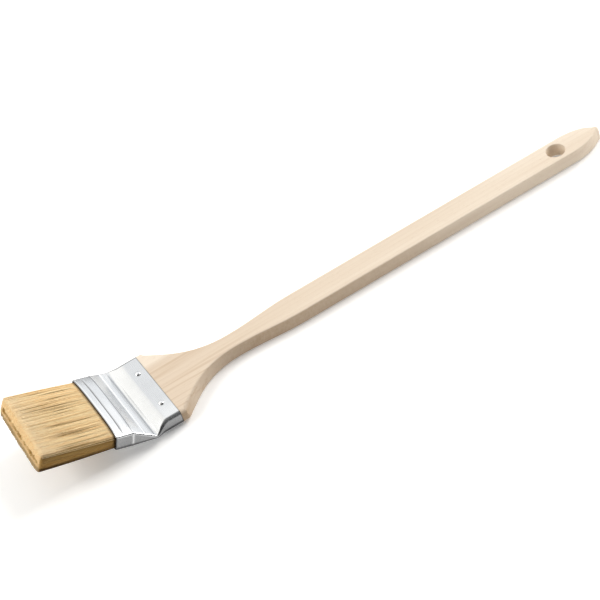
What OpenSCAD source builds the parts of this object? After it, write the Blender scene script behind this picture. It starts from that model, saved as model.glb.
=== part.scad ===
// Angled pastry brush: a long flat wooden handle, a bent sheet-metal ferrule nailed to it,
// and two rows of bristle set in resin on either side of a spacer strip.
// Millimetres, +Z up. The brush lies on its lower nail heads with the handle along +X and the
// bristles raised at -X. The origin is on the table, under the middle of the brush's length.

/* [Handle] */
// Length from the bend of the ferrule to the tip of the handle
handle_len = 335; // [290:0.5:380]
// Thickness of the board that the handle is cut from
handle_t = 9; // [8:0.5:11]
// Width of the grip
grip_w = 18.5; // [16:0.5:24]
// Narrowest width, at the neck
neck_w = 12.4; // [10:0.2:15]
// Diameter of the hanging hole
hole_d = 12; // [8:0.5:13]
// Distance from the middle of the hanging hole to the tip
hole_from_tip = 31.5; // [28:0.5:40]

/* [Ferrule] */
// Outside width of the ferrule, which is the width of the brush
brush_w = 61; // [50:1:75]
// Thickness of the sheet metal
sheet_t = 0.4; // [0.3:0.05:0.5]
// Angle by which the head is raised from the line of the handle
bend = 20; // [10:1:30]
// Length of the ferrule from the bend to the handle's shoulder
socket_len = 19.5; // [18:0.5:26]
// Length of the ferrule from the bend to its mouth
head_len = 25; // [25:0.5:32]
// Height of the mouth at its narrow sides
mouth_h = 9.5; // [9:0.5:12]
// How far each wide face of the mouth swells past its narrow sides
crown = 1.8; // [1:0.1:2.5]
// How far the pinched bend spreads past the width of the ferrule, on each side
pinch_spread = 3.5; // [2.5:0.1:4.5]

/* [Nails] */
// Distance between the two nails on the upper face
nail_gap = 31; // [24:0.5:36]
// Distance of the nails from the bend
nail_x = 14.3; // [13.5:0.1:15.5]
// Radius of a nail head
nail_head_r = 1.7; // [1.2:0.1:2]
// Height of a nail head
nail_head_h = 0.7; // [0.4:0.05:0.8]

/* [Bristles] */
// Free length of the longest bristles, from the mouth
bristle_len = 47.5; // [40:0.5:60]
// Bristles across the width of each row
bristle_columns = 45; // [38:1:45]
// Thickness of the strip that parts the two rows
spacer_t = 1.8; // [1.4:0.1:2.2]

/* [Hidden] */
$fn = 48;
overlap = 1;       // how far joined or cut solids run into each other
fit_gap = 0.05;    // clearance of a piece that slides into the ferrule

// Handle outline, by distance from the bend
shoulder_x = socket_len + 4;         // end of the full-width shoulder
neck_x = shoulder_x + 48;            // narrowest place
grip_x = neck_x + 43.5;              // start of the even grip
taper_x = handle_len - 26;           // start of the pointed tip
flare_power = 2.3;                   // how quickly the flare falls to the neck
tip_power = 2.4;                     // how late the tip closes
tip_round = 1.15;                    // how blunt the tip is
tenon_chamfer = 2;

// Ferrule sections, by distance from the bend: positive towards the handle, negative to the mouth
bend_run = 2.6;                      // half-length of the rounded bend along the underside
bend_r = bend_run / tan(bend / 2);
pinch_len = 11;                      // length over which the socket's sides are pinched
tenon_x = pinch_len;                 // inner end of the tenon, where the socket is at its full height
slope_len = 10;                      // length over which its top slopes down to the bend
slope_power = 1.25;                  // how hollow that slope is
shelf = 14.3;                        // start of the slope from the head down to the bend
fold = 7.5;                          // where that slope eases
fold_share = 0.62;                   // share of the drop that is reached at the fold
fold_power = 1.4;                    // how hollow the slope is from the fold on
groove_at = head_len - 4.8;          // pressed groove across both wide faces
groove_w = 1.2;
groove_deep = 0.35;
crease_h = 5.6;                      // height over the middle of the pinched bend
crease_side_h = 1.8;                 // height of its narrow sides
crease_mid = 4.5;                    // middle of those sides above the underside
corner_r = 1.2;                      // corners of the head
socket_corner_r = 2.5;               // corners of the socket
crown_power = 4;
run_steps = 14;                      // steps across a wide face
corner_steps = 3;
ring_size = 2 * (run_steps + 1) + 4 * corner_steps;
lip = 1.5;                           // plain rim between the last ring of the shell and the mouth
shell_stations = [socket_len,
                  for (k = [8:-1:0]) pinch_len * k / 8,
                  for (k = [1:4]) -fold * k / 4,
                  for (k = [1:4]) lerp(-fold, -shelf, k / 4),
                  for (k = [-2:2]) -groove_at - groove_w * k / 4,
                  lip - head_len, -head_len];

// Bristles: roots stand in a slab inside the ferrule, and rows are counted away from the spacer
bristle_rows = 4;
slab_front = -17.2;
slab_back = -14.8;
slab_half_w = brush_w / 2 - corner_r - 2 * fit_gap;
head_mid = mouth_h / 2;
root_inner = spacer_t / 2 + 0.15;    // rows start this far from the middle of the head
root_margin = 0.5;                   // rows end this far inside the ferrule's wall
tip_inner = 0.4;
tip_spread = 1.15;                   // each row swells by this much at its outer side
tip_crown = 0.9;                     // and by this much more in the middle of its width
tip_fan = 1.045;                     // the rows fan out to this share of their width at the root
tip_bevel = 2.2;                     // the upper side is cut this much shorter
tip_jitter = 0.5;
column_pitch = 2 * slab_half_w / bristle_columns;
fill = 0.37;                         // half-thickness of a strand as a share of its place in the grid
tip_fill = 0.28;
jitter_seed = 11;

resin_end = -10.5;
resin_stations = [for (k = [3:-1:0]) lerp(-shelf, resin_end, k / 3), slab_back];
spacer_w = brush_w - 4;
spacer_front = 1;                    // the strip stops this far inside the mouth

// Nails
shank_r = 0.7;
nail_len = 6.5;
nail_point = 1.8;
point_r = 0.1;
lower_nail_gap = nail_gap - 9;       // staggered, so that the points pass each other

// The table is under the lower nail heads, and the origin is under the middle of the length
head_end = head_len + bristle_len;
x_mid = (handle_len - head_end * cos(bend)) / 2;
floor_z = nail_head_h;

function lerp(a, b, t) = a + (b - a) * t;
function clamp(t) = min(1, max(0, t));
function smooth(t) = let (c = clamp(t)) c * c * (3 - 2 * c);

// Handle

function flare(x) = pow(1 - (x - shoulder_x) / (neck_x - shoulder_x), flare_power);
function tip(x) = pow(max(0, 1 - pow((x - taper_x) / (handle_len - taper_x), tip_power)), 1 / tip_round);
function handle_half_w(x) =
    x <= shoulder_x ? brush_w / 2
    : x <= neck_x ? lerp(neck_w, brush_w, flare(x)) / 2
    : x <= grip_x ? lerp(neck_w, grip_w, smooth((x - neck_x) / (grip_x - neck_x))) / 2
    : x <= taper_x ? grip_w / 2
    : grip_w / 2 * tip(x);

outline_x = [socket_len, shoulder_x,
             for (k = [1:20]) lerp(shoulder_x, neck_x, k / 20),
             for (k = [1:12]) lerp(neck_x, grip_x, k / 12),
             for (k = [0:14]) lerp(taper_x, handle_len, sin(90 * k / 15))];

module board() {
    upper = [for (x = outline_x) [x, handle_half_w(x)]];
    lower = [for (k = [len(upper) - 1:-1:0]) [upper[k].x, -upper[k].y]];
    linear_extrude(handle_t) polygon(concat(upper, [[handle_len, 0]], lower));
}

module tenon() {
    half_w = brush_w / 2 - sheet_t - fit_gap;
    half_t = handle_t / 2 - sheet_t - fit_gap;
    c = tenon_chamfer;
    section = [[half_w, half_t - c], [half_w - c, half_t], [c - half_w, half_t], [-half_w, half_t - c],
               [-half_w, c - half_t], [c - half_w, -half_t], [half_w - c, -half_t], [half_w, c - half_t]];
    translate([tenon_x, 0, handle_t / 2]) rotate([90, 0, 90])
        linear_extrude(socket_len - tenon_x + overlap) polygon(section);
}

module handle() color("wheat") difference() {
    union() {
        board();
        tenon();
    }
    translate([handle_len - hole_from_tip, 0, -overlap]) cylinder(d = hole_d, h = handle_t + 2 * overlap);
    upper_nail_places() nail_shank();
    lower_nail_places() nail_shank();
}

// Nails

module nail_shank() {
    body = nail_len - nail_point;
    translate([0, 0, -body]) cylinder(r = shank_r, h = body);
    translate([0, 0, -nail_len]) cylinder(r1 = point_r, r2 = shank_r, h = nail_point);
}

module nail() {
    dome_r = (nail_head_r * nail_head_r + nail_head_h * nail_head_h) / (2 * nail_head_h);
    intersection() {
        translate([0, 0, nail_head_h - dome_r]) sphere(r = dome_r);
        cylinder(r = nail_head_r + overlap, h = nail_head_h + overlap);
    }
    nail_shank();
}

module upper_nail_places() for (side = [-1, 1])
    translate([nail_x, side * nail_gap / 2, handle_t]) children();

module lower_nail_places() for (side = [-1, 1])
    translate([nail_x, side * lower_nail_gap / 2, 0]) rotate([180, 0, 0]) children();

module upper_nails() color("silver") upper_nail_places() nail();

module lower_nails() color("silver") lower_nail_places() nail();

// Ferrule: a flat tube whose section changes along a bent line on its underside

function path_angle(s) = bend * clamp((bend_run - s) / (2 * bend_run));
function path_point(s) =
    s >= bend_run ? [s, 0]
    : s <= -bend_run ? [s * cos(bend), -s * sin(bend)]
    : let (a = path_angle(s)) [bend_run - bend_r * sin(a), bend_r * (1 - cos(a))];
function placed(s, y, h) =
    let (p = path_point(s), a = path_angle(s)) [p[0] + h * sin(a), y, p[1] + h * cos(a)];

// How far a section is pinched, from 0 at full height to 1 at the bend
function side_pinch(s) = s >= 0 ? 1 - smooth(s / pinch_len) : clamp(1 + s / shelf);
function top_pinch(s) =
    s >= 0 ? pow(1 - clamp(s / slope_len), slope_power)
    : s >= -fold ? lerp(fold_share, 1, pow(1 + s / fold, fold_power))
    : fold_share * clamp((shelf + s) / (shelf - fold));

function side_h(s) = lerp(s >= 0 ? handle_t : mouth_h, crease_side_h, side_pinch(s));
function side_mid(s) = lerp(s >= 0 ? handle_t / 2 : head_mid, crease_mid, side_pinch(s));
function half_w(s) = brush_w / 2 + pinch_spread * side_pinch(s);
function groove(s) = groove_deep * clamp(1 - abs(s + groove_at) / (groove_w / 2));
function top_h(s) = lerp(s >= 0 ? handle_t : mouth_h + crown, crease_h, top_pinch(s));
function under_h(s) = s >= 0 ? 0 : -crown * (1 - side_pinch(s));

// Outline of a section, taken in by inset: [across, up] points, counted upwards on the +Y side first
function section(s, inset) =
    let (hw = half_w(s) - inset, e = side_h(s) / 2 - inset, m = side_mid(s),
         r = min((s >= 0 ? socket_corner_r : corner_r) - inset, 0.8 * e), flat = hw - r,
         rise = top_h(s) - inset - m - e, drop = m - e - under_h(s) - inset,
         swell = function (u) 1 - pow(abs(u), crown_power),
         dent = function (u) groove(s) * (1 - pow(abs(u), 2 * crown_power)),
         corner = function (cy, ch, a) [cy + r * cos(a), ch + r * sin(a)],
         turn = 90 / corner_steps)
    [for (k = [0:corner_steps - 1]) corner(flat, m + e - r, k * turn),
     for (k = [0:run_steps]) let (u = 1 - 2 * k / run_steps) [u * flat, m + e + rise * swell(u) - dent(u)],
     for (k = [1:corner_steps]) corner(-flat, m + e - r, 90 + k * turn),
     for (k = [0:corner_steps - 1]) corner(-flat, m - e + r, 180 + k * turn),
     for (k = [0:run_steps]) let (u = 2 * k / run_steps - 1) [u * flat, m - e - drop * swell(u) + dent(u)],
     for (k = [1:corner_steps]) corner(flat, m - e + r, 270 + k * turn)];

function rings(stations, inset) = [for (s = stations) for (p = section(s, inset)) placed(s, p[0], p[1])];

// Triangles between two rings that start at points a and b, facing out where b is further along
function band(a, b) = [for (k = [0:ring_size - 1]) let (n = (k + 1) % ring_size)
    each [[a + k, a + n, b + n], [a + k, b + n, b + k]]];
function wall(count, first) = [for (j = [0:count - 2])
    each band(first + j * ring_size, first + (j + 1) * ring_size)];
function flipped(faces) = [for (f = faces) [f[2], f[1], f[0]]];
function cap(first) = [for (k = [1:ring_size - 2]) [first, first + k, first + k + 1]];

module shell(stations) {
    count = len(stations);
    inner = count * ring_size;
    last = (count - 1) * ring_size;
    polyhedron(points = concat(rings(stations, 0), rings(stations, sheet_t)),
               faces = concat(wall(count, 0), flipped(wall(count, inner)),
                              band(inner, 0), flipped(band(inner + last, last))));
}

module plug(stations, inset) {
    count = len(stations);
    polyhedron(points = rings(stations, inset),
               faces = concat(wall(count, 0), flipped(cap(0)), cap((count - 1) * ring_size)));
}

module ferrule() color("gainsboro") difference() {
    shell(shell_stations);
    upper_nail_places() cylinder(r = shank_r + fit_gap, h = 4 * sheet_t, center = true);
    lower_nail_places() cylinder(r = shank_r + fit_gap, h = 4 * sheet_t, center = true);
}

module setting_resin() color("saddlebrown") plug(resin_stations, sheet_t + fit_gap);

module spacer_strip() color("tan") rotate([0, bend, 0])
    translate([spacer_front - head_len, -spacer_w / 2, head_mid - spacer_t / 2])
        cube([head_len - spacer_front + slab_back, spacer_w, spacer_t]);

// Bristles: one closed surface for each row, of a root slab with a grid of tapering strands on it

corner_count = (bristle_columns + 1) * (bristle_rows + 1);
strand_count = bristle_columns * bristle_rows;
jitter = rands(-1, 1, 2 * strand_count, jitter_seed);

// Distance of a row's outer side from the middle of the head, at the ferrule's inner wall and at the cut end
function swelling(y) = 1 - pow(abs(y) / (brush_w / 2 - corner_r), crown_power);
function wall_z(y) = head_mid - sheet_t + crown * swelling(y);
function end_z(y) = head_mid - sheet_t + tip_spread + tip_crown * swelling(y);

// Corners of the grid on the slab: lines between the strands, and the slab's own rim outside them
function across(c) = lerp(-slab_half_w, slab_half_w, c / bristle_columns);
function root_z(y, r) = lerp(root_inner, wall_z(y) - root_margin, r / bristle_rows);
function slab_z(y, r) = r == bristle_rows ? wall_z(y) - 2 * fit_gap : root_z(y, r);

// Where a strand ends: the whole brush is cut on one slanting curve, shortest on its upper face
function tip_z(y, r) = lerp(tip_inner, end_z(y), r / bristle_rows);
function tip_x(z, k) = tip_bevel * pow(clamp(0.5 + z / (2 * end_z(0))), 3) - head_end
    + tip_jitter * (1 + jitter[k]);

function oblong(x, y, z, half_y, half_z) =
    [for (corner = [[-1, -1], [1, -1], [1, 1], [-1, 1]]) [x, y + corner[0] * half_y, z + corner[1] * half_z]];
function root_oblong(c, r, side) =
    let (y = across(c + 0.5), pitch = root_z(y, 1) - root_z(y, 0))
    oblong(slab_front, y, side * root_z(y, r + 0.5), fill * column_pitch, fill * pitch);
function tip_oblong(c, r, side) =
    let (y = across(c + 0.5), z = side * tip_z(y, r + 0.5), pitch = tip_z(y, 1) - tip_z(y, 0),
         k = c * bristle_rows + r + (side > 0 ? 0 : strand_count))
    oblong(tip_x(z, k), y * tip_fan, z, tip_fill * column_pitch, tip_fill * pitch);

// side is 1 for the upper row and -1 for the lower one, whose slab and roots are the upper row's upside down
module bristle_row(side) {
    corners = function (x) [for (c = [0:bristle_columns]) for (r = [0:bristle_rows])
        let (y = across(c)) [x, y, side * slab_z(y, r)]];
    roots = [for (c = [0:bristle_columns - 1]) for (r = [0:bristle_rows - 1]) each root_oblong(c, r, side)];
    tips = [for (c = [0:bristle_columns - 1]) for (r = [0:bristle_rows - 1]) each tip_oblong(c, r, side)];
    cell = function (c, r) let (a = c * (bristle_rows + 1) + r, b = a + bristle_rows + 1)
        side > 0 ? [a, b, b + 1, a + 1] : [a + 1, b + 1, b, a];
    back = corner_count;
    first_root = 2 * corner_count;
    first_tip = first_root + 4 * strand_count;
    quad = function (a, b, c, d) [[a, b, c], [a, c, d]];
    edge = function (a, b) quad(a, b, b + back, a + back);
    around = function (a, b) [for (k = [0:3]) let (n = (k + 1) % 4) each quad(a[k], a[n], b[n], b[k])];
    four = function (first) [first, first + 1, first + 2, first + 3];
    strands = [for (c = [0:bristle_columns - 1]) for (r = [0:bristle_rows - 1])
        let (k = 4 * (c * bristle_rows + r), q = cell(c, r),
             a = four(first_root + k), b = four(first_tip + k))
        each concat(around(q, a), around(a, b), quad(b[0], b[1], b[2], b[3]),
                    quad(q[3] + back, q[2] + back, q[1] + back, q[0] + back))];
    far = bristle_columns * (bristle_rows + 1);
    ends = [for (r = [0:bristle_rows - 1]) each concat(edge(r, r + 1), edge(far + r + 1, far + r))];
    faces = [for (c = [0:bristle_columns - 1]) let (a = c * (bristle_rows + 1), b = a + bristle_rows + 1)
        each concat(edge(b, a), edge(a + bristle_rows, b + bristle_rows))];
    rim = concat(ends, faces);
    rotate([0, bend, 0]) translate([0, 0, head_mid])
        polyhedron(points = concat(corners(slab_front), corners(slab_back), roots, tips),
                   faces = concat(strands, side > 0 ? rim : flipped(rim)));
}

module upper_bristles() color("burlywood") bristle_row(1);

module lower_bristles() color("burlywood") bristle_row(-1);

module stand() translate([-x_mid, 0, floor_z]) children();

stand() handle();
stand() ferrule();
stand() upper_nails();
stand() lower_nails();
stand() upper_bristles();
stand() lower_bristles();
stand() spacer_strip();
stand() setting_resin();
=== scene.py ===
"""Dresses the pastry brush: bare wood, tin plate, nails and bristle, lying on a pale studio floor."""

import math
import random

import bpy
from mathutils import Matrix, Vector
from mathutils.geometry import delaunay_2d_cdt


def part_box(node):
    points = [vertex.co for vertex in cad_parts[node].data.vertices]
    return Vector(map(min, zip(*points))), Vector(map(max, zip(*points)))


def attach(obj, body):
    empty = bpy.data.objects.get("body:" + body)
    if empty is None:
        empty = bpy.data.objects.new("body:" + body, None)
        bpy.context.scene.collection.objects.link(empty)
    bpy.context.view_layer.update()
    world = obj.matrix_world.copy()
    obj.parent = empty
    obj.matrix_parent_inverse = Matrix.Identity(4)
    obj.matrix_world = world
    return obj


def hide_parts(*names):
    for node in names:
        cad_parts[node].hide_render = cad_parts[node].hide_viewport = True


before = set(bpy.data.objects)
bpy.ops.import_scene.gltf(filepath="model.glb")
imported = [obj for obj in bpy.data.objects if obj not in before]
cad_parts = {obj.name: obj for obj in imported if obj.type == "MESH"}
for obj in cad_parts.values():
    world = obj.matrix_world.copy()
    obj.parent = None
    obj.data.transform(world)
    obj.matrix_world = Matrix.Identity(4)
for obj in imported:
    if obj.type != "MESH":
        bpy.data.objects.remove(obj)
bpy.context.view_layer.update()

# Sizes in millimetres, as in the solids. Lengths run from the bend of the ferrule:
# positive towards the handle, negative towards the bristles.
MM = 0.001
handle_low, handle_high = [[c / MM for c in corner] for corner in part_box("handle")]
brush_w = handle_high[1] - handle_low[1]
handle_t = handle_high[2] - handle_low[2]
handle_z = handle_low[2]
handle_len = 335
bend_x = handle_high[0] - handle_len
grip_w = 18.5
neck_w = 12.4
hole_d = 12
hole_from_tip = 31.5
bend = math.radians(20)
socket_len = 19.5
socket_corner_r = 2.5
head_len = 25
mouth_h = 9.5
crown = 1.8
sheet_t = 0.4
nail_x = 14.3
nail_gap = 31
lower_nail_gap = 22
nail_head_r = 1.7
nail_head_h = 0.7
bristle_len = 47.5


def lerp(a, b, t):
    return a + (b - a) * t


def clamp(t):
    return min(1.0, max(0.0, t))


def smooth(t):
    t = clamp(t)
    return t * t * (3 - 2 * t)


def bell(distance, width):
    """A smooth bump of height 1 that dies away past width."""
    return math.exp(-((distance / width) ** 2))


def blend(a, b, t):
    """A colour between two colours."""
    return [lerp(p, q, t) for p, q in zip(a, b)]


def spot(x, y, z):
    """A point given from the bend, in millimetres, as scene coordinates."""
    return Vector((bend_x + x, y, handle_z + z)) * MM


def mesh_object(name, points, faces, material, smooth_below=40):
    """A mesh whose edges flatter than smooth_below degrees are shaded smooth."""
    mesh = bpy.data.meshes.new(name)
    mesh.from_pydata(points, [], faces)
    mesh.validate()
    mesh.shade_smooth()
    mesh.set_sharp_from_angle(angle=math.radians(smooth_below))
    mesh.materials.append(material)
    piece = bpy.data.objects.new(name, mesh)
    bpy.context.collection.objects.link(piece)
    return piece


def ring_faces(first, second, count):
    """Quads between two closed rings of points that start at first and second."""
    return [
        (first + k, first + (k + 1) % count, second + (k + 1) % count, second + k)
        for k in range(count)
    ]


# Materials


def new_material(name, roughness, metallic=0.0):
    material = bpy.data.materials.new(name)
    material.use_nodes = True
    shader = material.node_tree.nodes["Principled BSDF"]
    shader.inputs["Roughness"].default_value = roughness
    shader.inputs["Metallic"].default_value = metallic
    return material, material.node_tree, shader


def add_node(tree, kind, inputs=None, **settings):
    node = tree.nodes.new(kind)
    for name, value in settings.items():
        setattr(node, name, value)
    for name, value in (inputs or {}).items():
        if isinstance(value, bpy.types.NodeSocket):
            tree.links.new(value, node.inputs[name])
        else:
            node.inputs[name].default_value = value
    return node


def stretched_noise(tree, scale, detail=4.0, roughness=0.55, shift=(0, 0, 0)):
    """Noise with its own number of cycles per metre along X, Y and Z."""
    place = add_node(tree, "ShaderNodeTexCoord").outputs["Object"]
    mapping = add_node(tree, "ShaderNodeMapping", {"Vector": place, "Scale": scale, "Location": shift})
    return add_node(
        tree,
        "ShaderNodeTexNoise",
        {"Vector": mapping.outputs["Vector"], "Scale": 1.0, "Detail": detail, "Roughness": roughness},
    ).outputs["Fac"]


def remap(tree, value, from_low, from_high, to_low=0.0, to_high=1.0):
    limits = {"From Min": from_low, "From Max": from_high, "To Min": to_low, "To Max": to_high}
    return add_node(tree, "ShaderNodeMapRange", {"Value": value, **limits}).outputs["Result"]


def times(tree, a, b):
    return add_node(tree, "ShaderNodeMath", {0: a, 1: b}, operation="MULTIPLY").outputs["Value"]


def coordinates(tree, kind, name):
    """The X, Y and Z of a place or direction that a node of this kind gives."""
    vector = add_node(tree, kind).outputs[name]
    return add_node(tree, "ShaderNodeSeparateXYZ", {"Vector": vector}).outputs


def steps_along(tree, place, stops):
    """A value that runs through the (place, value) stops."""
    first, last = stops[0][0], stops[-1][0]
    ramp = add_node(tree, "ShaderNodeValToRGB", {"Fac": remap(tree, place, first, last)})
    elements = ramp.color_ramp.elements
    for _ in stops[2:]:
        elements.new(0.5)
    for element, (at, value) in zip(elements, stops):
        element.position = (at - first) / (last - first)
        element.color = (value, value, value, 1.0)
    return ramp.outputs["Color"]


def mix_colour(tree, factor, a, b, mode="MIX"):
    node = add_node(tree, "ShaderNodeMix", data_type="RGBA", blend_type=mode)
    for socket, value in zip((0, 6, 7), (factor, a, b)):
        if isinstance(value, bpy.types.NodeSocket):
            tree.links.new(value, node.inputs[socket])
        else:
            node.inputs[socket].default_value = value
    return node.outputs[2]


def add_bump(tree, shader, height, strength, distance):
    inputs = {"Height": height, "Strength": strength, "Distance": distance}
    bump = add_node(tree, "ShaderNodeBump", inputs)
    tree.links.new(bump.outputs["Normal"], shader.inputs["Normal"])


# How much painted shade the board's upright sides get, at places along it in metres
side_shade_steps = (
    (-0.112, 1.0),
    (-0.1, 0.15),
    (-0.05, 0.85),
    (0.0, 0.66),
    (0.05, 0.46),
    (0.09, 0.15),
    (0.16, 0.0),
)
# Growth streaks on the flare: cycles per metre across, where a streak starts and is full, and a shift
broad_streaks = (110, 0.53, 0.68, (1, 4, 2))
thin_streaks = (420, 0.55, 0.66, (5, 2, 8))


def shaded_sides(tree, along):
    """Painted shade on the upright sides, darker or lighter along the board and mottled by saw marks."""
    facing = coordinates(tree, "ShaderNodeNewGeometry", "Normal")["Z"]
    flat_face = add_node(tree, "ShaderNodeMath", {0: facing}, operation="ABSOLUTE").outputs["Value"]
    upright = remap(tree, flat_face, 0.8, 0.2)
    marks = remap(tree, stretched_noise(tree, (700, 700, 350), roughness=0.7), 0.3, 0.7, 0.8, 1.2)
    return times(tree, times(tree, upright, steps_along(tree, along, side_shade_steps)), marks)


def growth_rings(tree):
    """Rings round a pith that lies beside and below the wood and runs nearly along it."""
    place = add_node(tree, "ShaderNodeTexCoord").outputs["Object"]
    pith = add_node(
        tree,
        "ShaderNodeMapping",
        {
            "Vector": place,
            "Location": (0.0, 0.055, -0.03),
            "Scale": (0.12, 1.0, 1.0),
            "Rotation": (0, 0, 0.035),
        },
    ).outputs["Vector"]
    return add_node(
        tree,
        "ShaderNodeTexWave",
        {"Vector": pith, "Scale": 90.0, "Distortion": 5.0, "Detail": 3.0, "Detail Scale": 0.35},
        wave_type="RINGS",
        rings_direction="X",
        wave_profile="SAW",
    ).outputs["Fac"]


def wood_material(name, pale, warm, line, side_shade):
    """Bare sanded wood, its grain along X: bands, growth lines, pores and pale sapwood on one side, with
    painted shade on the upright sides.
    """
    material, tree, shader = new_material(name, roughness=0.6)
    where = coordinates(tree, "ShaderNodeTexCoord", "Object")
    along, across = where["X"], where["Y"]
    bands = remap(tree, stretched_noise(tree, (5, 90, 90), detail=3.0), 0.35, 0.68, 0.0, 0.6)
    wide_end = remap(tree, along, 0.12, -0.12, 0.0, 0.75)
    fibres = stretched_noise(tree, (30, 1500, 1500), detail=5.0, roughness=0.7)
    short_noise = stretched_noise(tree, (260, 4200, 4200), detail=1.0, shift=(3, 7, 5))
    flare = remap(tree, along, -0.02, -0.1)
    sapwood = times(tree, remap(tree, across, 0.0145, 0.0185), remap(tree, along, -0.06, -0.09))
    tone = mix_colour(tree, bands, pale, warm)
    tone = mix_colour(tree, wide_end, tone, warm)
    # Painted shade on the upright sides
    tone = mix_colour(tree, shaded_sides(tree, along), tone, side_shade)
    tone = mix_colour(tree, remap(tree, growth_rings(tree), 0.55, 1.0, 0.0, 0.12), tone, line)
    for width, low, high, shift in (broad_streaks, thin_streaks):
        noise = stretched_noise(tree, (7, width, width), shift=shift)
        streaks = remap(tree, noise, low, high, 0.0, 0.65)
        tone = mix_colour(tree, times(tree, streaks, flare), tone, line)
    tone = mix_colour(tree, sapwood, tone, pale)
    tone = mix_colour(tree, remap(tree, fibres, 0.3, 0.75, 0.0, 0.35), tone, warm)
    tone = mix_colour(tree, remap(tree, short_noise, 0.66, 0.74, 0.0, 0.4), tone, line)
    tree.links.new(tone, shader.inputs["Base Color"])
    tree.links.new(remap(tree, fibres, 0.3, 0.7, 0.52, 0.68), shader.inputs["Roughness"])
    add_bump(tree, shader, fibres, 0.12, 0.0002)
    return material


# Colours of the painted highlight and the painted shade that the ferrule's mesh carries
painted_highlight_tin = (0.97, 0.97, 0.96, 1.0)
painted_shade_dark = (0.10, 0.10, 0.105, 1.0)


def tin_material(name, tint, roughness):
    """Bright plated sheet: soft waves, rolling lines, scuffs, and painted highlights and painted shade (with
    some dirt in the pressed lines) from the mesh.
    """
    material, tree, shader = new_material(name, roughness, metallic=1.0)
    waves = stretched_noise(tree, (70, 45, 70), detail=1.0)
    rolling = stretched_noise(tree, (900, 40, 900), detail=2.0)
    scuffs = remap(tree, stretched_noise(tree, (120, 120, 120), detail=3.0), 0.4, 0.75)
    scuffed = [0.96 * c for c in tint[:3]] + [1.0]
    tone = mix_colour(tree, scuffs, tint, scuffed)
    # Painted highlight, then painted shade with some dirt, mixed in by the mesh's attributes
    for attribute, colour in (("painted_highlight", painted_highlight_tin), ("shade_and_grime", painted_shade_dark)):
        amount = add_node(tree, "ShaderNodeAttribute", attribute_name=attribute).outputs["Fac"]
        tone = mix_colour(tree, amount, tone, colour)
    rough = remap(tree, rolling, 0.3, 0.7, roughness - 0.02, roughness + 0.03)
    tree.links.new(tone, shader.inputs["Base Color"])
    tree.links.new(rough, shader.inputs["Roughness"])
    add_bump(tree, shader, waves, 0.06, 0.0006)
    return material


def bristle_material(name):
    """Blond bristle: each strand's own tone and painted shade from the mesh, with light and dark stretches
    along it.
    """
    material, tree, shader = new_material(name, roughness=0.42)
    strand = add_node(tree, "ShaderNodeAttribute", attribute_name="tint").outputs["Color"]
    stretches = remap(tree, stretched_noise(tree, (130, 1100, 1100), detail=3.0), 0.45, 0.7, 0.0, 0.5)
    dulled = (0.84, 0.70, 0.50, 1.0)
    tone = mix_colour(tree, stretches, strand, dulled, "MULTIPLY")
    tree.links.new(tone, shader.inputs["Base Color"])
    shader.inputs["Specular IOR Level"].default_value = 0.12
    return material


def resin_material(name):
    """Brown cast resin with cloudy depth."""
    material, tree, shader = new_material(name, roughness=0.25)
    clouds = remap(tree, stretched_noise(tree, (300, 300, 300)), 0.3, 0.7)
    tone = mix_colour(tree, clouds, (0.20, 0.09, 0.03, 1.0), (0.33, 0.17, 0.06, 1.0))
    tree.links.new(tone, shader.inputs["Base Color"])
    return material


handle_wood = wood_material(
    "handle_wood",
    pale=(0.785, 0.69, 0.57, 1),
    warm=(0.63, 0.505, 0.38, 1),
    line=(0.48, 0.335, 0.205, 1),
    side_shade=(0.40, 0.275, 0.165, 1),
)
strip_wood = wood_material(
    "strip_wood",
    pale=(0.70, 0.52, 0.33, 1),
    warm=(0.62, 0.43, 0.26, 1),
    line=(0.45, 0.29, 0.16, 1),
    side_shade=(0.45, 0.29, 0.16, 1),
)
tin_plate = tin_material("tin_plate", (0.67, 0.68, 0.69, 1.0), 0.26)
nail_steel = tin_material("nail_steel", (0.8, 0.8, 0.81, 1.0), 0.12)
blond_bristle = bristle_material("blond_bristle")
cast_resin = resin_material("cast_resin")


# Handle: a flat board with softened edges, a hanging hole and a tenon in the ferrule

shoulder_x = socket_len + 4
neck_x = shoulder_x + 48
grip_x = neck_x + 43.5
taper_x = handle_len - 26
flare_power = 2.3
flare_lean = 2.6
tip_power = 2.4
tip_round = 1.15
board_edge_r = 0.8
shoulder_run = 10
hole_edge_r = 0.35
edge_steps = 5
edge_margin = 0.5
flare_steps = 44
waist_steps = 36
grip_steps = 24
tip_steps = 40
hole_sides = 72
sharpest_lean = 0.5
merge_below = 1e-6
nose_r = 2.5
nose_len = 8
nose_reach = 1.7
nose_drop = 3
joint_gap = 0.2
tenon_gap = 0.05
tenon_x = 11
tenon_chamfer = 2


def handle_half_w(x):
    if x <= shoulder_x:
        return brush_w / 2
    if x <= neck_x:
        from_neck = 1 - (x - shoulder_x) / (neck_x - shoulder_x)
        return lerp(neck_w, brush_w, from_neck**flare_power) / 2
    if x <= grip_x:
        return lerp(neck_w, grip_w, smooth((x - neck_x) / (grip_x - neck_x))) / 2
    if x <= taper_x:
        return grip_w / 2
    closing = ((x - taper_x) / (handle_len - taper_x)) ** tip_power
    nose = max(0.0, nose_r**2 - (x - handle_len + nose_r) ** 2) ** 0.5
    return max(nose, grip_w / 2 * max(0.0, 1 - closing) ** (1 / tip_round))


def places(first, last, steps):
    """Even steps from first to last, without first itself."""
    return [lerp(first, last, k / steps) for k in range(1, steps + 1)]


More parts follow.
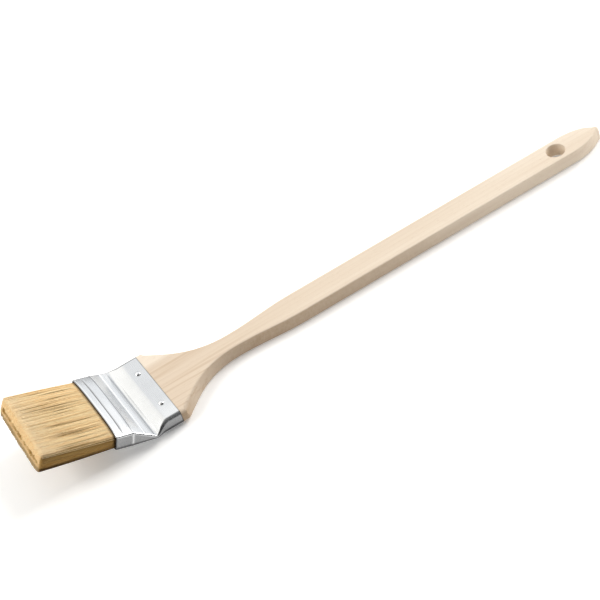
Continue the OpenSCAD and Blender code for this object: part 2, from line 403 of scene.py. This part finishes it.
def handle_outline():
    """The board's outline seen from above, counterclockwise from the shoulder on the -Y side."""
    start = [socket_len + joint_gap, shoulder_x]
    flare = places(shoulder_x, neck_x, flare_steps)
    waist = places(neck_x, grip_x, waist_steps)
    grip = places(grip_x, taper_x, grip_steps)
    turns = [math.pi / 2 * k / tip_steps for k in range(1, tip_steps)]
    tip = [lerp(taper_x, handle_len, math.sin(a)) for a in turns]
    near = [(x, -handle_half_w(x)) for x in start + flare + waist + grip + tip]
    return near + [(handle_len, 0.0)] + [(x, -y) for x, y in reversed(near)]


def taken_in(outline, insets):
    """The outline moved inwards, except that its ends at the ferrule stay on the ferrule's edge."""
    moved = []
    count = len(outline)
    for k, ((x, y), inset) in enumerate(zip(outline, insets)):
        before = Vector(outline[k - 1])
        here = Vector((x, y))
        after = Vector(outline[(k + 1) % count])
        if k in (0, count - 1):
            moved.append((x, y - math.copysign(inset, y)))
            continue
        a = (here - before).normalized()
        b = (after - here).normalized()
        inward = Vector((-(a + b).y, (a + b).x)).normalized()
        lean = max(sharpest_lean, inward.dot(Vector((-a.y, a.x))))
        moved.append(tuple(here + inward * (inset / lean)))
    return moved


def edge_layers():
    """Rings round a board's edges, from its top to its underside, as (margin, inwards, down, on top)."""
    turns = [math.pi / 2 * k / edge_steps for k in range(edge_steps + 1)]
    upper = [(0.0, 1 - math.sin(a), 1 - math.cos(a), True) for a in turns]
    lower = [(0.0, inwards, down, False) for _, inwards, down, _ in reversed(upper)]
    return [(edge_margin, 1.0, 0.0, True)] + upper + lower + [(edge_margin, 1.0, 0.0, False)]


def leaned(x, z):
    """Where a point of the flare comes to lie: its sides lean, and their foot is longer than their top."""
    if not shoulder_x <= x <= neck_x:
        return x
    return x - flare_lean * (z / handle_t - 0.5) * (neck_x - x) / (neck_x - shoulder_x)


def board_ring(outline, layer):
    """One ring round the board, whose edges are rounded most at the ferrule and on top of the nose."""
    margin, inwards, down, on_top = layer
    past_shoulder = [smooth((x - shoulder_x) / shoulder_run) for x, y in outline]
    radii = [lerp(socket_corner_r, board_edge_r, p) for p in past_shoulder]
    nose = [smooth((x - handle_len + nose_len) / nose_len) if on_top else 0.0 for x, y in outline]
    insets = [margin + inwards * lerp(r, nose_reach, n) for r, n in zip(radii, nose)]
    drops = [down * lerp(r, nose_drop, n) for r, n in zip(radii, nose)]
    heights = [handle_t - drop if on_top else drop for drop in drops]
    return [(leaned(x, z), y, z) for (x, y), z in zip(taken_in(outline, insets), heights)]


def hole_ring(layer):
    """One ring round the hanging hole, clockwise, so that the board is on its left."""
    margin, inwards, down, on_top = layer
    turns = [-2 * math.pi * k / hole_sides for k in range(hole_sides)]
    r = hole_d / 2 + margin + inwards * hole_edge_r
    z = handle_t - down * hole_edge_r if on_top else down * hole_edge_r
    return [(handle_len - hole_from_tip + r * math.cos(a), r * math.sin(a), z) for a in turns]


def ring_stack(rings, points, faces):
    """Adds rings of (x, y, z) points joined by quads, and returns where each ring starts."""
    starts = []
    for ring in rings:
        starts.append(len(points))
        points += [spot(*p) for p in ring]
    for a, b in zip(starts, starts[1:]):
        faces += ring_faces(b, a, len(rings[0]))
    return starts


def fill_between(outer, outer_start, inner, inner_start, up):
    """Triangles of a flat face with one hole, on points that are already in the mesh."""
    flat = [Vector(p[:2]) for p in outer] + [Vector(p[:2]) for p in inner]
    index = [outer_start + k for k in range(len(outer))] + [inner_start + k for k in range(len(inner))]
    loops = [(0, len(outer)), (len(outer), len(inner))]
    edges = [(s + k, s + (k + 1) % n) for s, n in loops for k in range(n)]
    _, _, triangles, origin, _, _ = delaunay_2d_cdt(flat, edges, [], 1, merge_below)
    source = [ids[0] for ids in origin]
    order = 1 if up else -1
    return [
        tuple(index[source[v]] for v in triangle)[::order]
        for triangle in triangles
        if min(source[v] for v in triangle) < len(outer)
    ]


def tenon_points(x):
    """The tenon's section at x: a flat block with chamfered corners."""
    w = brush_w / 2 - sheet_t - tenon_gap
    t = handle_t / 2 - sheet_t - tenon_gap
    c = tenon_chamfer
    corners = [(w, t - c), (w - c, t), (c - w, t), (-w, t - c)]
    corners += [(-y, -z) for y, z in corners]
    return [(x, y, handle_t / 2 + z) for y, z in corners]


def make_handle():
    points, faces = [], []
    outline = handle_outline()
    board = [board_ring(outline, layer) for layer in edge_layers()]
    board_starts = ring_stack(board, points, faces)
    hole = [hole_ring(layer) for layer in edge_layers()]
    hole_starts = ring_stack(hole, points, faces)
    faces += fill_between(board[0], board_starts[0], hole[0], hole_starts[0], True)
    faces += fill_between(board[-1], board_starts[-1], hole[-1], hole_starts[-1], False)
    tenon_ends = [tenon_points(x) for x in (socket_len + joint_gap, tenon_x)]
    near, far = ring_stack(tenon_ends, points, faces)
    sides = len(tenon_ends[0])
    faces += [tuple(range(near, near + sides)), tuple(reversed(range(far, far + sides)))]
    return mesh_object("wooden_handle", points, faces, handle_wood, smooth_below=30)


# Ferrule: a flat tube of sheet metal, pinched across at the bend

bend_run = 2.6
bend_r = bend_run / math.tan(bend / 2)
pinch_len = 11
slope_len = 10
slope_power = 1.35
shelf = 14.3
fold = 7.5
fold_share = 0.62
fold_power = 0.75
groove_at = head_len - 4.6
groove_w = 0.45
groove_deep = 0.3
groove_fade = 10
bead_high = 0.1
bead_w = 0.35
fold_bead_high = 0.26
fold_bead_w = 0.45
dimple_deep = 0.2
dimple_w = 1.9
lip_len = 0.8
lip_turn = 0.06
lip_round = 0.12
crease_h = 5.6
crease_side_h = 1.8
crease_mid = 4.5
pinch_spread = 3.5
corner_r = 1.2
corner_share = 0.8
foot_share = 0.9
crown_power = 4
run_steps = 110
corner_steps = 7
side_steps = 5
station_step = 0.28
inner_every = 6
head_mid = mouth_h / 2

# Lines of painted shade and painted highlight across the sheet: place along the ferrule, width and strength.
# Painted shadow at the mouth and the socket's edge, painted shade with some dirt in the crease and by the
# shelf, painted highlight on the fold and the lip.
end_shadow_lines = ((-head_len, 0.3, 0.8), (socket_len, 0.3, 0.4))
face_shade_and_grime_lines = ((-1.9, 0.6, 0.3), (-shelf - 0.45, 0.3, 0.75))
face_highlight_lines = ((0.2 - fold, 0.45, 1.0), (0.8 - head_len, 0.35, 0.7))

# How strong the other painted shade and painted highlight is, and how wide some of it: painted shade on the
# walls, corners, far side, round the nails and inside, painted highlight on the socket and by the mouth
wall_painted_shade = 0.66
wall_seam_w = 0.6
corner_painted_shade = 0.15
corner_foot_painted_shade = 0.78
far_rim_painted_shade = 0.85
far_side_painted_shade = 0.4
groove_shade_and_grime_w = 0.34
nail_ring_painted_shade = 0.4
nail_ring_shade_w = 0.25
inner_painted_shade = 0.6
socket_painted_highlight = 0.4
mouth_painted_highlight = 0.35


def path_angle(s):
    return bend * clamp((bend_run - s) / (2 * bend_run))


def on_path(s, y, h):
    """A point at height h above the ferrule's underside, s along it and y across."""
    a = path_angle(s)
    if s >= bend_run:
        x, z = s, 0.0
    elif s <= -bend_run:
        x, z = s * math.cos(bend), -s * math.sin(bend)
    else:
        x, z = bend_run - bend_r * math.sin(a), bend_r * (1 - math.cos(a))
    return x + h * math.sin(a), y, z + h * math.cos(a)


def side_pinch(s):
    """How far the side walls are pinched: fully at the bend, and less towards the shelf and the socket."""
    return 1 - smooth(s / pinch_len) if s >= 0 else clamp(1 + s / shelf)


def slope(s):
    """How far the socket's top has still to rise."""
    return 1 - clamp(s / slope_len)


def head_top_pinch(s):
    if s >= -fold:
        return lerp(1, fold_share, smooth((-s / fold) ** fold_power))
    return fold_share * clamp((shelf + s) / (shelf - fold))


def top_h(s):
    if s >= 0:
        return lerp(handle_t, crease_h, slope(s) ** slope_power)
    return lerp(mouth_h + crown, crease_h, head_top_pinch(s))


def under_h(s):
    return 0.0 if s >= 0 else -crown * (1 - side_pinch(s))


def groove_reach(y):
    """How much of the pressed groove there is at y: it fades out near the sides."""
    return 1 - clamp(abs(y) / (brush_w / 2 - corner_r)) ** groove_fade


def from_nail(s, y, face):
    """The distance to the nearest nail on the top (1) or the underside (-1)."""
    gap = nail_gap if face > 0 else lower_nail_gap
    return math.hypot(s - nail_x, abs(y) - gap / 2)


def relief(s, y, face):
    """How far the pressed detail stands out of the top (1), the sides (0) or the underside (-1)."""
    out = bead_high * bell(s + shelf, bead_w)
    out -= lip_turn * smooth((-s - head_len + lip_len) / lip_len)
    if face != 0:
        out -= groove_deep * bell(s + groove_at, groove_w) * groove_reach(y)
        out -= dimple_deep * bell(from_nail(s, y, face), dimple_w)
    if face == 1:
        out += fold_bead_high * bell(s + fold, fold_bead_w)
    return out


def lines_at(s, lines):
    """How strong a set of lines across the sheet is, at s along it."""
    return sum(strength * bell(s - place, width) for place, width, strength in lines)


def corner_dark(s, y):
    """Painted shade on the upper corners: where they turn down the socket's side, and all along the far rim.
    """
    turned = clamp((abs(y) - brush_w / 2 + socket_corner_r) / socket_corner_r)
    on_socket = lerp(corner_painted_shade, corner_foot_painted_shade, turned**4) * smooth(s / 2)
    far_rim = far_rim_painted_shade * clamp(4 * turned) if y > 0 else 0.0
    return max(on_socket, far_rim)


def face_dark(s, y, face):
    """Painted shade on the top or the underside: in the pressed lines (with some dirt there), on the far side
    and round the nails.
    """
    shelf_to_fold = smooth((s + shelf) / 0.6) * smooth((-fold - 0.3 - s) / 0.8)
    dark = bell(s + groove_at, groove_shade_and_grime_w) * groove_reach(y)
    dark += lines_at(s, face_shade_and_grime_lines)
    dark += far_side_painted_shade * clamp(0.5 + y / brush_w) ** 2 * shelf_to_fold
    dark += nail_ring_painted_shade * bell(from_nail(s, y, face) - nail_head_r, nail_ring_shade_w)
    return dark


def shade_and_grime_at(s, y, face):
    """How dark the sheet is with painted shade (and some dirt in the pressed lines), on the faces that
    section names.
    """
    dark = lines_at(s, end_shadow_lines)
    if face == 0:
        dark += wall_painted_shade * (1 - bell(s + shelf, wall_seam_w))
    elif face == 2:
        dark += corner_dark(s, y)
    # The wall feet underneath get full painted shade
    elif face == -2:
        dark += 1.0
    else:
        dark += face_dark(s, y, face)
    return clamp(dark)


def painted_highlight_at(s, y, face):
    """Painted highlight on the sheet: on the fold, at the lip and towards the near side of its flat parts."""
    if face != 1:
        return 0.0
    bright = lines_at(s, face_highlight_lines)
    bright += socket_painted_highlight * smooth((-y - 10) / 16) * smooth((s - 9) / 3)
    bright += mouth_painted_highlight * smooth((10 - y) / 20) * smooth((-shelf - 1.2 - s) / 0.8)
    return clamp(bright)


def section(s, inset):
    """The ferrule's outline across, taken in by inset, as (y, height, face) points round it.

    Faces are 1 for the top, 2 for the corners beside it and 0 for the walls, and -1 and -2 underneath.
    The foot of a wall counts as the corner under it.
    """
    pinch = side_pinch(s)
    half_w = brush_w / 2 + pinch_spread * pinch - inset
    side_h = lerp(handle_t if s >= 0 else mouth_h, crease_side_h, pinch)
    middle = lerp(handle_t / 2 if s >= 0 else head_mid, crease_mid, pinch)
    e = side_h / 2 - inset
    r = min((socket_corner_r if s >= 0 else corner_r) - inset, corner_share * e)
    flat = half_w - r
    rise = top_h(s) - inset - middle - e
    drop = middle - e - under_h(s) - inset
    side_out = relief(s, half_w, 0)

    def run(face, extra):
        points = []
        for k in range(run_steps + 1):
            u = face * (1 - 2 * k / run_steps)
            lift = extra * (1 - abs(u) ** crown_power) + relief(s, u * flat, face)
            points.append((u * flat, middle + face * (e + lift), face))
        return points

    def corner(side, face, start):
        centre_y, centre_h = side * flat, middle + face * (e - r)
        turns = [math.radians(start + 90 * k / corner_steps) for k in range(1, corner_steps)]
        reach = r + side_out
        ways = [(math.cos(a), math.sin(a)) for a in turns]
        return [(centre_y + reach * out, centre_h + reach * up, 2 * face) for out, up in ways]

    def wall(side):
        y = side * (half_w + side_out)
        heights = [lerp(r - e, e - r, k / side_steps) for k in range(side_steps + 1)]
        foot = foot_share * (r - e)
        return [(y, middle + side * h, 0 if side * h > foot else -2) for h in heights]

    upper = wall(1) + corner(1, 1, 0) + run(1, rise) + corner(-1, 1, 90)
    lower = wall(-1) + corner(-1, -1, 180) + run(-1, drop) + corner(1, -1, 270)
    return upper + lower


def make_ferrule():
    count = round((socket_len + head_len) / station_step)
    outer = [lerp(socket_len, -head_len, k / count) for k in range(count + 1)]
    inner = outer[:-1:inner_every] + [outer[-1]]
    plan = [(s, 0.0) for s in outer]
    plan += [(-head_len - lip_round, sheet_t / 2)]
    plan += [(s, sheet_t) for s in reversed(inner)]
    plan += [(socket_len, sheet_t / 2)]
    points, faces, starts, shade_and_grime, painted_highlight = [], [], [], [], []
    size = 0
    for s, inset in plan:
        ring = section(s, inset)
        size = len(ring)
        starts.append(len(points))
        points += [spot(*on_path(s, y, h)) for y, h, face in ring]
        # Painted shade and painted highlight on the outside; even painted shade on the inside surface
        shade_and_grime += [shade_and_grime_at(s, y, face) if inset == 0 else inner_painted_shade for y, h, face in ring]
        painted_highlight += [painted_highlight_at(s, y, face) if inset == 0 else 0.0 for y, h, face in ring]
    for a, b in zip(starts, starts[1:] + starts[:1]):
        faces += ring_faces(a, b, size)
    piece = mesh_object("tin_ferrule", points, faces, tin_plate, smooth_below=50)
    for name, values in (("shade_and_grime", shade_and_grime), ("painted_highlight", painted_highlight)):
        piece.data.attributes.new(name, "FLOAT", "POINT").data.foreach_set("value", values)
    return piece


# Nails: low domed heads on shanks that run to a point in the tenon

shank_r = 0.7
nail_len = 6.5
nail_point = 1.8
nail_point_r = 0.1
nail_rim_h = 0.06
nail_rim_r = 0.05
dome_power = 0.8
dome_steps = 12
nail_sides = 40


def nail_profile():
    """(radius, height) points down a nail from the top of its head."""
    turns = [math.pi / 2 * k / dome_steps for k in range(1, dome_steps)]
    head = [(nail_head_r * math.sin(a), nail_head_h * math.cos(a) ** dome_power) for a in turns]
    rim = [(nail_head_r, nail_rim_h), (nail_head_r - nail_rim_r, 0.0)]
    shank = [(shank_r, 0.0), (shank_r, nail_point - nail_len), (nail_point_r, -nail_len)]
    return head + rim + shank


def make_nails(name, gap, surface_z, facing):
    points, faces = [], []
    turns = [2 * math.pi * k / nail_sides for k in range(nail_sides)]
    profile = nail_profile()
    for side in (-1, 1):
        start = len(points)
        for r, z in profile:
            for a in turns:
                across = side * gap / 2 + facing * r * math.sin(a)
                points.append(spot(nail_x + r * math.cos(a), across, surface_z + facing * z))
        for j in range(len(profile) - 1):
            faces += ring_faces(start + (j + 1) * nail_sides, start + j * nail_sides, nail_sides)
        faces.append(tuple(range(start, start + nail_sides)))
        last = start + (len(profile) - 1) * nail_sides
        faces.append(tuple(reversed(range(last, last + nail_sides))))
    return mesh_object(name, points, faces, nail_steel, smooth_below=50)


# Bristles: two rows of fine strands, with narrow partings among the outer ones and a gap between the rows

# The form of a row: places along the ferrule, sizes, and shares of the way across
root_s = -14.9
strip_s = -24.2
root_inner = 1.05
mouth_margin = 0.45
row_half_w = 28.8
tip_half_w = 30.4
mouth_widening = 1.01
mouth_inner = 0.2
mouth_past = 0.4
tip_spread = 1.15
tip_crown = 0.9
tip_bevel = 2.2
bevel_power = 3
tip_skew = 1.2
tip_corner = 1.0
tip_corner_from = 0.9
edge_round = 1.3
edge_round_from = 0.95
gap_closes_from = 0.85
rows_meet_from = 0.8
head_end = head_len + bristle_len

# Single strands, with how far chance moves them
strand_columns = 178
strand_rows = 17
strand_r = 0.235
strand_tip_r = 0.15
strand_sides = 3
strand_stops = (0.0, 0.035, 0.2, 0.4, 0.6, 0.8, 0.93, 1.0)
strand_jitter = 0.4
strand_bow = (0.10, 0.07)
tip_scatter = (0.07, 0.06)
tip_uneven = 0.3

# Locks of strands that lie together, and partings between them
locks_across = 34
locks_deep = 3
lock_blur = 0.12
lock_lean = (0.05, 0.03)
lock_gather = 0.05
lock_gather_deep = 0.6
lock_short = 0.25
parting_count = 22
parting_w = 0.011
parting_deep = 0.1
parting_from = 0.7
parting_ends = 0.1
parting_reach = 0.97
parting_stop = (0.5, 1.0)
parting_len = (0.25, 0.7)
parting_depth = (0.5, 1.0)

# Colours, and how far the strands take them on, painted shade among them
straw = (0.99, 0.80, 0.48)
tan = (0.95, 0.66, 0.335)
# Paler towards the tips on top of the upper row
pale_tip_colour = (1.0, 0.85, 0.60)
# The next brown is painted shade; umber is painted shadow and painted shade, and also the colour of a few
# dark strays
painted_shade_hazel = (0.46, 0.27, 0.07)
umber = (0.11, 0.058, 0.018)
mean_tone = 0.24
lock_tone = 0.05
strand_tone = 0.40
# Painted shade at the sides, in the gap between rows, over the lower row, under it and in the partings; the
# dark strays and paler tips are the strands' own colour
side_from = 0.945
side_painted_shade = 0.9
top_edge_share = 0.4
lower_row_painted_shade = 0.3
gap_painted_shade = 1.8
stray_share = 0.04
stray_dark = 0.2
underside_painted_shade = 0.5
tip_pale = 0.5
parting_painted_shade = 0.6


def swelling(y):
    return 1 - clamp(abs(y) / (brush_w / 2 - corner_r)) ** crown_power


def wall_z(y):
    return mouth_h / 2 - sheet_t + crown * swelling(y)


def end_z(y):
    return mouth_h / 2 - sheet_t + tip_spread + tip_crown * swelling(y)


def near_sides(u, start):
    """0 up to start across the row, and from there up to 1 at its sides."""
    return clamp((abs(u) - start) / (1 - start))


def cut_at(u, z):
    """How far along the head the brush is cut, at a place across and a height from its middle."""
    bevel = tip_bevel * clamp(0.5 + z / (2 * end_z(0))) ** bevel_power
    corner = tip_corner * near_sides(u, tip_corner_from) ** 2
    return bevel + corner + tip_skew * u - head_end


def edge_fall(u):
    """How far the outer strands fall at the long edges of the bundle, which are rounded."""
    return edge_round * near_sides(u, edge_round_from) ** 2


def make_locks(chance):
    """One lock of bristle for each place across and through a row: its tone, lean and length."""
    return {
        (i, j): {
            "tone": chance.gauss(0, 1),
            "lean": [chance.gauss(0, most) for most in lock_lean],
            "gather": chance.uniform(0.0, lock_gather),
            "short": abs(chance.gauss(0, lock_short)),
        }
        for i in range(locks_across)
        for j in range(locks_deep)
    }


def make_partings(chance):
    """Narrow partings of the outer strands: place across, start and end along them, and depth."""
    partings = []
    for _ in range(parting_count):
        end = chance.uniform(*parting_stop)
        start = end - chance.uniform(*parting_len)
        place = chance.uniform(-parting_reach, parting_reach)
        partings.append((place, start, end, chance.uniform(*parting_depth)))
    return partings


def parted(partings, u, t):
    """How deep a strand at u lies in a parting, at t along its free length."""
    deepest = 0.0
    for place, start, end, depth in partings:
        along = smooth((t - start) / parting_ends) * smooth((end - t) / parting_ends)
        deepest = max(deepest, depth * bell(u - place, parting_w) * along)
    return deepest


def row_gap(u):
    """How far a row's tips stand off the other row's: unevenly, and not at all at the sides."""
    opening = 0.4 + 0.15 * math.sin(9 * u + 1) + 0.13 * math.sin(23 * u + 2) + 0.08 * math.sin(41 * u)
    return opening * (1 - smooth(near_sides(u, gap_closes_from)))


def strand_path(side, u, v, lock_place, lock, partings, chance):
    """Points along a strand: u is its place across the row, v its place from the middle outwards."""
    lock_u, lock_v = lock_place
    y = u * row_half_w
    outer_z = wall_z(y) - mouth_margin - edge_fall(u)
    root_z = lerp(root_inner, outer_z, v)
    mouth_y = y * mouth_widening
    inner_z = lerp(root_inner, mouth_inner, smooth(near_sides(u, rows_meet_from)))
    mouth_z = lerp(inner_z, outer_z, v)
    tip_u = lerp(u, lock_u, lock["gather"])
    tip_v = lerp(v, lock_v, lock["gather"] * lock_gather_deep)
    tip_y = tip_u * tip_half_w + lock["lean"][0] + chance.gauss(0, tip_scatter[0])
    tip_z = lerp(row_gap(u), end_z(tip_y) - edge_fall(u), tip_v)
    tip_z += lock["lean"][1] * v + chance.gauss(0, tip_scatter[1])
    tip_s = cut_at(u, side * tip_z) + lock["short"] + abs(chance.gauss(0, tip_uneven))
    bow_y, bow_z = [chance.gauss(0, most) for most in strand_bow]
    path = [(s, y, side * root_z) for s in (root_s, strip_s)]
    for t in strand_stops:
        swing = math.sin(math.pi * t)
        across = lerp(mouth_y, tip_y, 1 - (1 - t) ** 2) + bow_y * swing
        up = lerp(mouth_z, tip_z, t) + bow_z * swing
        if v > parting_from:
            up -= parting_deep * parted(partings, u, t)
        path.append((lerp(-head_len - mouth_past, tip_s, t), across, side * up))
    return path


def mouth_shade(t):
    """Painted shadow on a strand by the ferrule's mouth: most where it comes out, then faint painted shade
    for a while.
    """
    at_mouth = 0.7 if t == 0 else 0.0
    return at_mouth + 0.22 * smooth((0.05 - t) / 0.05) + 0.06 * (1 - smooth(t / 0.4))


def rim_shade(side, v, t):
    """Painted shade on a row's sides: a line under the top edge, and a foot that is higher at the tips."""
    if side > 0:
        return 0.5 * bell(v - 0.88, 0.07)
    return smooth((v - lerp(0.85, 0.6, t)) / 0.15)


def strand_tints(side, u, v, tone, partings, chance):
    """Colours along a strand: painted shade in the ferrule and by its mouth, in partings, in the gap, at the
    sides and under the lower row, with paler tips and a few dark strays.
    """
    level = side * v
    top_layer = smooth((level - 0.93) / 0.04)
    # Painted shade at the sides, in the gap between the rows and over the lower row
    edge = smooth((abs(u) - side_from) / 0.04) * lerp(1.0, top_edge_share, top_layer)
    between = clamp(gap_painted_shade * row_gap(u)) * smooth((0.16 - v) / 0.1)
    brown = max(side_painted_shade * edge, between, 0.0 if side > 0 else lower_row_painted_shade)
    stray = stray_dark if chance.random() < stray_share else 0.0
    # Painted shade under the lower row
    below = underside_painted_shade * smooth((-level - 0.3) / 0.4)
    own = blend(straw, tan, tone)
    # Roots inside the ferrule in painted shade
    tints = [umber, umber]
    for t in strand_stops:
        pale = tip_pale * smooth((t - 0.7) / 0.2) * smooth((level - 0.75) / 0.2)
        parting = parted(partings, u, t) if v > parting_from else 0.0
        # Painted shade and shadow, apart from the dark strays
        dark = max(edge * rim_shade(side, v, t), stray, below, mouth_shade(t), parting_painted_shade * parting)
        tint = blend(blend(own, pale_tip_colour, pale), painted_shade_hazel, max(brown, parting))
        tints.append(blend(tint, umber, dark))
    return tints


def add_strand(path, points, faces):
    """A thin tapering tube of three sides along the path, closed by a blunt point."""
    start = len(points)
    last = len(path) - 1
    for k, (s, y, z) in enumerate(path):
        r = lerp(strand_r, strand_tip_r, k / last)
        for corner in range(strand_sides):
            a = 2 * math.pi * corner / strand_sides + start
            points.append(spot(*on_path(s, y + r * math.cos(a), head_mid + z + r * math.sin(a))))
    for k in range(last):
        faces.extend(ring_faces(start + k * strand_sides, start + (k + 1) * strand_sides, strand_sides))
    end = start + last * strand_sides
    faces.append(tuple(range(end, end + strand_sides)))
    faces.append(tuple(reversed(range(start, start + strand_sides))))


def scattered(place, count, chance):
    """A place in a count of even places, as a share of them all, moved a little at random."""
    return (place + 0.5 + chance.uniform(-strand_jitter, strand_jitter)) / count


def make_bristles(name, side, seed):
    chance = random.Random(seed)
    locks = make_locks(chance)
    partings = make_partings(chance)
    points, faces, tints = [], [], []
    for column in range(strand_columns):
        for row in range(strand_rows):
            u = 2 * scattered(column, strand_columns, chance) - 1
            v = 1.0 if row == strand_rows - 1 else scattered(row, strand_rows, chance)
            i = int((u + 1) / 2 * locks_across + chance.gauss(0, lock_blur))
            i = max(0, min(locks_across - 1, i))
            j = min(locks_deep - 1, int(v * locks_deep))
            lock = locks[i, j]
            place = (2 * (i + 0.5) / locks_across - 1, (j + 0.5) / locks_deep)
            add_strand(strand_path(side, u, v, place, lock, partings, chance), points, faces)
            tone = clamp(mean_tone + lock_tone * lock["tone"] + strand_tone * chance.gauss(0, 1))
            for tint in strand_tints(side, u, v, tone, partings, chance):
                tints += [*tint, 1.0] * strand_sides
    piece = mesh_object(name, points, faces, blond_bristle, smooth_below=180)
    piece.data.color_attributes.new("tint", "FLOAT_COLOR", "POINT").data.foreach_set("color", tints)
    return piece


# Pieces, each riding on the one body and standing for its solid

dressed = [
    (make_handle(), "handle", "handle_wood"),
    (make_ferrule(), "ferrule", "ferrule_sheet"),
    (make_nails("upper_ferrule_nails", nail_gap, handle_t, facing=1), "upper_nails", "nail_steel"),
    (make_nails("lower_ferrule_nails", lower_nail_gap, 0.0, facing=-1), "lower_nails", "nail_steel"),
    (make_bristles("upper_bristle_row", side=1, seed=21), "upper_bristles", "bristle"),
    (make_bristles("lower_bristle_row", side=-1, seed=22), "lower_bristles", "bristle"),
]
for piece, node, slot in dressed:
    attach(piece, "root")
    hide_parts(node)

for node, material in (("spacer_strip", strip_wood), ("setting_resin", cast_resin)):
    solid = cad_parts[node]
    solid.data.materials.clear()
    solid.data.materials.append(material)


# Stage: a pale floor, soft light from above, from behind and by the tip, and the camera

floor_size = 8.0
floor_glow = 0.16
dome_front = 0.2
dome_back = 1.32
dome_low = 0.25
dome_high = 0.86
dome_left = (1.22, 1.20, 1.15, 1.0)
dome_right = (0.94, 0.955, 0.97, 1.0)
lamp_white = (1.0, 0.985, 0.965)
tip_lamp_white = (1.0, 0.99, 0.97)


def make_floor():
    material, tree, shader = new_material("pale_floor", roughness=0.75)
    shader.inputs["Base Color"].default_value = (0.93, 0.93, 0.925, 1.0)
    shader.inputs["Specular IOR Level"].default_value = 0.2
    shader.inputs["Emission Color"].default_value = (1.0, 1.0, 1.0, 1.0)
    shader.inputs["Emission Strength"].default_value = floor_glow
    h = floor_size / 2
    corners = [(-h, -h, 0), (h, -h, 0), (h, h, 0), (-h, h, 0)]
    floor = mesh_object("pale_floor", corners, [(0, 1, 2, 3)], material)


def add_softbox(name, at, aim, size, power, colour, mirrored=True):
    data = bpy.data.lights.new(name, "AREA")
    data.shape = "RECTANGLE"
    data.size, data.size_y = size
    data.energy = power
    data.color = colour
    lamp = bpy.data.objects.new(name, data)
    lamp.location = at
    lamp.rotation_euler = (Vector(aim) - Vector(at)).to_track_quat("-Z", "Y").to_euler()
    lamp.visible_glossy = mirrored
    bpy.context.collection.objects.link(lamp)


def make_light():
    """A dome that is bright behind the brush, dim in front and low at the back, and three soft lamps."""
    world = bpy.data.worlds.new("studio")
    world.use_nodes = True
    tree = world.node_tree
    way = coordinates(tree, "ShaderNodeTexCoord", "Generated")
    depth = remap(tree, way["Y"], 0.1, 0.6, dome_front, dome_back)
    low = remap(tree, way["Z"], 0.05, 0.35, dome_low, 1.0)
    aside = remap(tree, way["Y"], 0.92, 0.78)
    backdrop = add_node(tree, "ShaderNodeMath", {0: low, 1: aside}, operation="MAXIMUM").outputs["Value"]
    height = remap(tree, way["Z"], 0.4, 0.68, 1.0, dome_high)
    strength = times(tree, times(tree, depth, height), backdrop)
    across = remap(tree, way["X"], -0.2, 0.2)
    tone = mix_colour(tree, across, dome_left, dome_right)
    background = tree.nodes["Background"]
    tree.links.new(tone, background.inputs["Color"])
    tree.links.new(strength, background.inputs["Strength"])
    bpy.context.scene.world = world
    add_softbox("right_softbox", (2.2, 0.35, 1.95), (-0.05, 0, 0), (1.6, 1.6), 64, lamp_white)
    add_softbox("left_softbox", (-1.6, 0.4, 1.1), (-0.1, 0, 0), (1.2, 1.2), 24, lamp_white)
    tip_place, tip_aim = (0.42, -0.26, 0.09), (0.18, 0, 0)
    add_softbox("tip_softbox", tip_place, tip_aim, (0.2, 0.15), 0.3, tip_lamp_white, mirrored=False)


camera_at = (-0.31444, -0.96811, 0.93398)
camera_aim = (-0.01348, 0.00473, 0.0052)
camera_roll = math.radians(-18.565)
camera_lens = 138.88


def make_camera():
    data = bpy.data.cameras.new("photo_camera")
    data.lens = camera_lens
    data.clip_end = 50
    camera = bpy.data.objects.new("photo_camera", data)
    look = (Vector(camera_aim) - Vector(camera_at)).to_track_quat("-Z", "Y").to_matrix().to_4x4()
    camera.matrix_world = Matrix.Translation(camera_at) @ look @ Matrix.Rotation(camera_roll, 4, "Z")
    bpy.context.collection.objects.link(camera)
    bpy.context.scene.camera = camera


make_floor()
make_light()
make_camera()
bpy.context.scene.view_settings.view_transform = "Standard"
